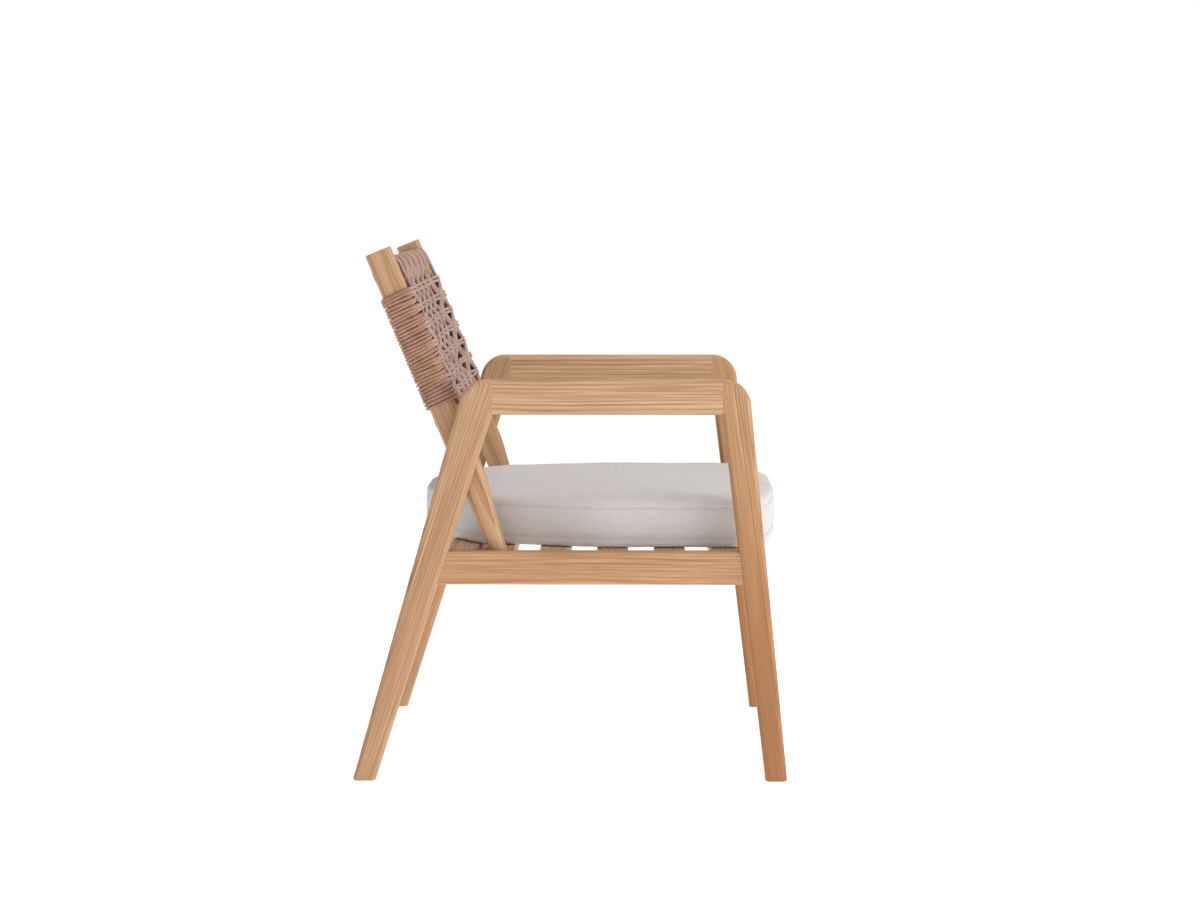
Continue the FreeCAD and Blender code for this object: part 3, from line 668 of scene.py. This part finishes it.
def plated_steel():
    material, tree, shader = new_material("zinc_plate")
    where = add(tree, "ShaderNodeTexCoord").outputs["Object"]
    speck = add(tree, "ShaderNodeTexNoise", {"Vector": where, "Scale": 900.0, "Detail": 3.0}).outputs["Fac"]
    zinc = ramp(tree, speck, [(0.3, (0.50, 0.51, 0.52)), (0.7, (0.68, 0.68, 0.67))])
    tree.links.new(zinc, shader.inputs["Base Color"])
    tree.links.new(ramp(tree, speck, [(0.3, 0.28), (0.7, 0.42)]), shader.inputs["Roughness"])
    shader.inputs["Metallic"].default_value = 1.0
    return material


STEEL = plated_steel()
for node in ("slat_screws", "ledger_screws", "post_foot_bolts", "post_leg_bolts"):
    finish_node(node, STEEL)


# ---- Seat cushion ----------------------------------------------------------------------------------
# A loose box cushion: foam in a sewn cover of pale grey plain-woven cloth. The top panel turns down
# over the edge to a seam, a side band runs round, and the bottom panel turns up to a second seam.

CUSHION_LOW, CUSHION_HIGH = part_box("cushion_cover")
SWELL = 0.0015                   # the filling pushes the cover out by about this much
FOLD_ROUND = 0.012               # height of the rounding at the top and bottom of the plain form
FOLD_KEEP = 0.45                 # how much of that height the sewn cover keeps, as its folds are crisp


def cushion_form():
    """The outside of the cover as one closed skin, a little small, lying on the deck."""
    form = bmesh.new()
    form.from_mesh(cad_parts["cushion_cover"].data)
    bmesh.ops.remove_doubles(form, verts=form.verts, dist=1e-5)
    left = set(form.verts)
    skins = []
    while left:
        skin = {left.pop()}
        edge_of_skin = list(skin)
        while edge_of_skin:
            vertex = edge_of_skin.pop()
            for edge in vertex.link_edges:
                other = edge.other_vert(vertex)
                if other in left:
                    left.remove(other)
                    skin.add(other)
                    edge_of_skin.append(other)
        skins.append(skin)
    outside = max(skins, key=lambda skin: max(v.co.x for v in skin))
    bmesh.ops.delete(form, geom=[v for v in form.verts if v not in outside], context="VERTS")
    bmesh.ops.recalc_face_normals(form, faces=form.faces)
    middle = (CUSHION_LOW + CUSHION_HIGH) / 2
    size = CUSHION_HIGH - CUSHION_LOW
    for vertex in form.verts:
        vertex.co.x = middle.x + (vertex.co.x - middle.x) * (1 - 2 * SWELL / size.x)
        vertex.co.y = middle.y + (vertex.co.y - middle.y) * (1 - 2 * SWELL / size.y)
        above = vertex.co.z - CUSHION_LOW.z
        below = CUSHION_HIGH.z - vertex.co.z
        if above < FOLD_ROUND:
            above *= FOLD_KEEP
        elif below < FOLD_ROUND:
            above = size.z - below * FOLD_KEEP
        vertex.co.z = CUSHION_LOW.z + above * (1 - SWELL / size.z)
    mesh = bpy.data.meshes.new("seat_cushion_form")
    form.to_mesh(mesh)
    form.free()
    return mesh


def apply_modifiers(piece):
    graph = bpy.context.evaluated_depsgraph_get()
    mesh = bpy.data.meshes.new_from_object(piece.evaluated_get(graph))
    piece.modifiers.clear()
    old = piece.data
    piece.data = mesh
    bpy.data.meshes.remove(old)


def voxel_remesh(piece, size):
    modifier = piece.modifiers.new("remesh", "REMESH")
    modifier.mode = "VOXEL"
    modifier.voxel_size = size
    apply_modifiers(piece)


CLOTH_GRID = 0.006               # size of the even faces that the cover is filled with
CROWN = 0.004                    # rise of the top panel in the middle
FILL_FRAMES = 20
FILL_LIMIT = 0.0045              # the most that the filling moves the cover anywhere


def fill_with_foam(piece):
    """Blows the cover up like the filling does, with the bottom held where it lies on the deck."""
    rest = np.array([v.co for v in piece.data.vertices])
    cloth = piece.modifiers.new("cloth", "CLOTH")
    settings = cloth.settings
    settings.quality = 6
    settings.mass = 0.25
    settings.tension_stiffness = 18
    settings.compression_stiffness = 12
    settings.shear_stiffness = 6
    settings.bending_stiffness = 4.0
    settings.use_pressure = True
    settings.uniform_pressure_force = 3.0
    settings.effector_weights.gravity = 0.0
    cloth.point_cache.frame_start = 1
    cloth.point_cache.frame_end = FILL_FRAMES
    scene = bpy.context.scene
    for number in range(1, FILL_FRAMES + 1):
        scene.frame_set(number)
    graph = bpy.context.evaluated_depsgraph_get()
    filled = np.array([v.co for v in piece.evaluated_get(graph).data.vertices])
    piece.modifiers.clear()
    scene.frame_set(1)
    move = filled - rest
    size = np.linalg.norm(move, axis=1)
    scale = np.minimum(1.0, FILL_LIMIT / np.maximum(size, 1e-9))
    placed = rest + move * scale[:, None]
    level = rest[:, :2] - rest[:, :2].mean(0)
    from_middle = level / np.abs(level).max(0)
    crown = np.clip(1 - (from_middle ** 2).sum(1), 0, 1)
    placed[:, 2] += CROWN * crown * (rest[:, 2] > rest[:, 2].mean())
    placed[:, 2] = np.maximum(placed[:, 2], CUSHION_LOW.z)
    piece.data.vertices.foreach_set("co", placed.ravel())
    piece.data.update()


THREAD_WAVE = 3700               # radians for each metre, so about 1.7 mm from thread to thread
CLOTH_SHADE = (0.575, 0.545, 0.525)
CLOTH_LIGHT = (0.71, 0.68, 0.655)
CLOTH_WORN = (0.48, 0.44, 0.42)
CLOTH_GAP = (0.42, 0.39, 0.37)


def cushion_cloth():
    material, tree, shader = new_material("cushion_cloth")
    where = add(tree, "ShaderNodeTexCoord").outputs["Object"]
    threads = add(tree, "ShaderNodeVectorMath", {0: where, 1: (THREAD_WAVE,) * 3},
                  operation="MULTIPLY").outputs[0]
    axes = add(tree, "ShaderNodeSeparateXYZ", {0: threads}).outputs
    waves = [math_node(tree, "SINE", axis) for axis in axes]
    weave = math_node(tree, "MULTIPLY", math_node(tree, "ADD", waves[0], waves[1]), waves[2])
    crossing = math_node(tree, "MULTIPLY", waves[0], waves[1])
    weave = math_node(tree, "ADD", crossing, math_node(tree, "MULTIPLY", weave, 0.7))
    slub_x = stretched_noise(tree, where, (60, 900, 900), 2.0)
    slub_y = stretched_noise(tree, where, (900, 60, 900), 2.0)
    slub = math_node(tree, "MULTIPLY", math_node(tree, "ADD", slub_x, slub_y), 0.5)
    cloud = add(tree, "ShaderNodeTexNoise", {"Vector": where, "Scale": 7.0, "Detail": 3.0}).outputs["Fac"]
    ground = mix(tree, ramp(tree, slub, [(0.36, 0.0), (0.64, 1.0)]), CLOTH_SHADE, CLOTH_LIGHT)
    worn = mix(tree, ramp(tree, cloud, [(0.3, 0.10), (0.7, 0.0)]), ground, CLOTH_WORN)
    colour = mix(tree, ramp(tree, weave, [(0.0, 0.16), (0.6, 0.0)]), worn, CLOTH_GAP)
    tree.links.new(colour, shader.inputs["Base Color"])
    shader.inputs["Roughness"].default_value = 0.9
    shader.inputs["Specular IOR Level"].default_value = 0.15
    shader.inputs["Sheen Weight"].default_value = 0.35
    shader.inputs["Sheen Roughness"].default_value = 0.45
    relief = math_node(tree, "ADD", math_node(tree, "MULTIPLY", weave, 0.25), slub)
    bump = add(tree, "ShaderNodeBump", {"Height": relief, "Strength": 0.3, "Distance": 0.0005})
    tree.links.new(bump.outputs["Normal"], shader.inputs["Normal"])
    return material


CUSHION_CLOTH = cushion_cloth()
cushion = bpy.data.objects.new("seat_cushion", cushion_form())
bpy.context.scene.collection.objects.link(cushion)
voxel_remesh(cushion, CLOTH_GRID)
fill_with_foam(cushion)
smoothing = cushion.modifiers.new("smooth", "SUBSURF")
smoothing.levels = 1
smoothing.render_levels = 1
apply_modifiers(cushion)
cushion.data.materials.clear()
cushion.data.materials.append(CUSHION_CLOTH)
cushion.data.shade_smooth()

SETTLE_HEIGHT = 0.014            # the weight presses the bottom fold flat up to this height
SETTLE_KEEP = 0.35
skin_points = np.array([v.co for v in cushion.data.vertices])
height = skin_points[:, 2] - CUSHION_LOW.z
pressed = SETTLE_KEEP + (1 - SETTLE_KEEP) * np.clip(height / SETTLE_HEIGHT, 0, 1) ** 2
skin_points[:, 2] = CUSHION_LOW.z + height * pressed
cushion.data.vertices.foreach_set("co", skin_points.ravel())
cushion.data.update()

SEAM_DROP = 0.015                # from the top fold to the seam, and from the bottom fold up
SEAM_WIDTH = 0.0034
SEAM_DEPTH = 0.0016
SEAM_STEPS = 520
STITCH_SPACING = 0.0042
STITCH_LENGTH = 0.0028
THREAD_RADIUS = 0.00045
seam_heights = (CUSHION_HIGH.z - SWELL - SEAM_DROP, CUSHION_LOW.z + SEAM_DROP)
normals = np.array([v.normal for v in cushion.data.vertices])
places = np.array([v.co for v in cushion.data.vertices])
pull = sum(np.exp(-((places[:, 2] - height) / SEAM_WIDTH) ** 2) for height in seam_heights)
places -= normals * (SEAM_DEPTH * pull * (1 - np.abs(normals[:, 2])))[:, None]
cushion.data.vertices.foreach_set("co", places.ravel())
cushion.data.update()


def seam_line(height):
    """A closed line round the cover at a height, lying in the seam."""
    skin = BVHTree.FromPolygons([v.co for v in cushion.data.vertices],
                                [p.vertices for p in cushion.data.polygons])
    middle = (CUSHION_LOW + CUSHION_HIGH) / 2
    line = []
    for i in range(SEAM_STEPS):
        angle = 2 * math.pi * i / SEAM_STEPS
        outward = Vector((math.cos(angle), math.sin(angle), 0))
        hit = skin.ray_cast(Vector((middle.x, middle.y, height)) + outward, -outward)[0]
        line.append(hit)
    return line


def stitch_tree():
    """Lays one short stitch of thread at every spacing along a seam line."""
    tree = bpy.data.node_groups.new("stitches_along_seam", "GeometryNodeTree")
    face = tree.interface
    face.new_socket("Geometry", in_out="INPUT", socket_type="NodeSocketGeometry")
    for name in ("Stitch spacing", "Stitch length", "Thread radius"):
        face.new_socket(name, in_out="INPUT", socket_type="NodeSocketFloat")
    face.new_socket("Material", in_out="INPUT", socket_type="NodeSocketMaterial")
    face.new_socket("Geometry", in_out="OUTPUT", socket_type="NodeSocketGeometry")
    given = tree.nodes.new("NodeGroupInput")
    result = tree.nodes.new("NodeGroupOutput")
    line = add(tree, "GeometryNodeMeshToCurve", {"Mesh": given.outputs["Geometry"]})
    places = add(tree, "GeometryNodeCurveToPoints",
                 {"Curve": line.outputs["Curve"], "Length": given.outputs["Stitch spacing"]}, mode="LENGTH")
    thread = add(tree, "GeometryNodeMeshCylinder",
                 {"Vertices": 6, "Radius": given.outputs["Thread radius"],
                  "Depth": given.outputs["Stitch length"]})
    along_line = add(tree, "FunctionNodeAlignRotationToVector",
                     {"Vector": places.outputs["Tangent"]}, axis="Z")
    laid = add(tree, "GeometryNodeInstanceOnPoints", {"Points": places.outputs["Points"],
                                                      "Instance": thread.outputs["Mesh"],
                                                      "Rotation": along_line.outputs[0]})
    real = add(tree, "GeometryNodeRealizeInstances", {"Geometry": laid.outputs[0]})
    painted = add(tree, "GeometryNodeSetMaterial", {"Geometry": real.outputs[0],
                                                    "Material": given.outputs["Material"]})
    tree.links.new(painted.outputs[0], result.inputs[0])
    return tree


def thread_material():
    material, tree, shader = new_material("seam_thread")
    where = add(tree, "ShaderNodeTexCoord").outputs["Object"]
    ply = add(tree, "ShaderNodeTexNoise", {"Vector": where, "Scale": 2500.0}).outputs["Fac"]
    yarn = ramp(tree, ply, [(0.3, (0.40, 0.37, 0.35)), (0.7, (0.56, 0.53, 0.51))])
    tree.links.new(yarn, shader.inputs["Base Color"])
    shader.inputs["Roughness"].default_value = 0.7
    return material


STITCHES = stitch_tree()
THREAD = thread_material()
for name, height in zip(("top_seam_stitches", "bottom_seam_stitches"), seam_heights):
    line = seam_line(height)
    mesh = bpy.data.meshes.new(name + "_line")
    mesh.from_pydata([tuple(p) for p in line], [(i, (i + 1) % len(line)) for i in range(len(line))], [])
    source = bpy.data.objects.new(name + "_line", mesh)
    bpy.context.scene.collection.objects.link(source)
    modifier = source.modifiers.new("stitches", "NODES")
    modifier.node_group = STITCHES
    set_inputs(modifier, {"Stitch spacing": STITCH_SPACING, "Stitch length": STITCH_LENGTH,
                          "Thread radius": THREAD_RADIUS, "Material": THREAD})
    stitches = plain_mesh(name, source)
    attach(stitches, "seat_cushion")
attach(cushion, "seat_cushion")
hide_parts("cushion_cover", "cushion_foam")


# ---- Studio --------------------------------------------------------------------------------------
# A plain white floor under three soft white lights, the strongest in front of the chair. The camera
# stands a little above the back, far off to the chair's right, and looks slightly down.

def stage_floor():
    mesh = bpy.data.meshes.new("floor")
    reach = 30.0
    corners = [(-reach, -reach, 0), (reach, -reach, 0), (reach, reach, 0), (-reach, reach, 0)]
    mesh.from_pydata(corners, [], [(0, 1, 2, 3)])
    floor = bpy.data.objects.new("floor", mesh)
    bpy.context.scene.collection.objects.link(floor)
    material, tree, shader = new_material("white_floor")
    shader.inputs["Base Color"].default_value = (0.9, 0.9, 0.9, 1)
    shader.inputs["Roughness"].default_value = 0.9
    shader.inputs["Specular IOR Level"].default_value = 0.0
    shader.inputs["Emission Color"].default_value = (1, 1, 1, 1)
    shader.inputs["Emission Strength"].default_value = 0.62
    mesh.materials.append(material)


def soft_light(name, place, size, power):
    """A white panel of light turned to the middle of the chair."""
    data = bpy.data.lights.new(name, "AREA")
    data.shape = "RECTANGLE"
    data.size, data.size_y = size
    data.energy = power
    lamp = bpy.data.objects.new(name, data)
    lamp.location = place
    lamp.rotation_euler = (Vector((0, 0, 0.4)) - Vector(place)).to_track_quat("-Z", "Y").to_euler()
    bpy.context.scene.collection.objects.link(lamp)


stage_floor()
soft_light("front_softbox", (-1.9, -3.6, 0.95), (2.6, 2.2), 86)
soft_light("side_softbox", (-3.6, 0.6, 1.6), (2.2, 2.0), 8)
soft_light("overhead", (0.2, -0.2, 3.6), (3.0, 3.0), 52)

world = bpy.data.worlds.new("studio")
bpy.context.scene.world = world
world.use_nodes = True
sky = world.node_tree
light_level = math_node(sky, "MAXIMUM", add(sky, "ShaderNodeLightPath").outputs["Is Camera Ray"], 0.44)
sky.nodes["Background"].inputs["Color"].default_value = (1, 1, 1, 1)
sky.links.new(light_level, sky.nodes["Background"].inputs["Strength"])

camera_data = bpy.data.cameras.new("camera")
camera_data.sensor_width = 36.0
camera_data.lens = 85.64
camera_data.clip_end = 100.0
camera = bpy.data.objects.new("camera", camera_data)
camera.location = (-4.660, -0.100, 0.916)
yaw, tilt = math.radians(0.704), math.radians(5.316)
aim = Vector((math.cos(yaw) * math.cos(tilt), math.sin(yaw) * math.cos(tilt), -math.sin(tilt)))
camera.rotation_euler = aim.to_track_quat("-Z", "Y").to_euler()
bpy.context.scene.collection.objects.link(camera)
bpy.context.scene.camera = camera
bpy.context.scene.view_settings.view_transform = "Standard"
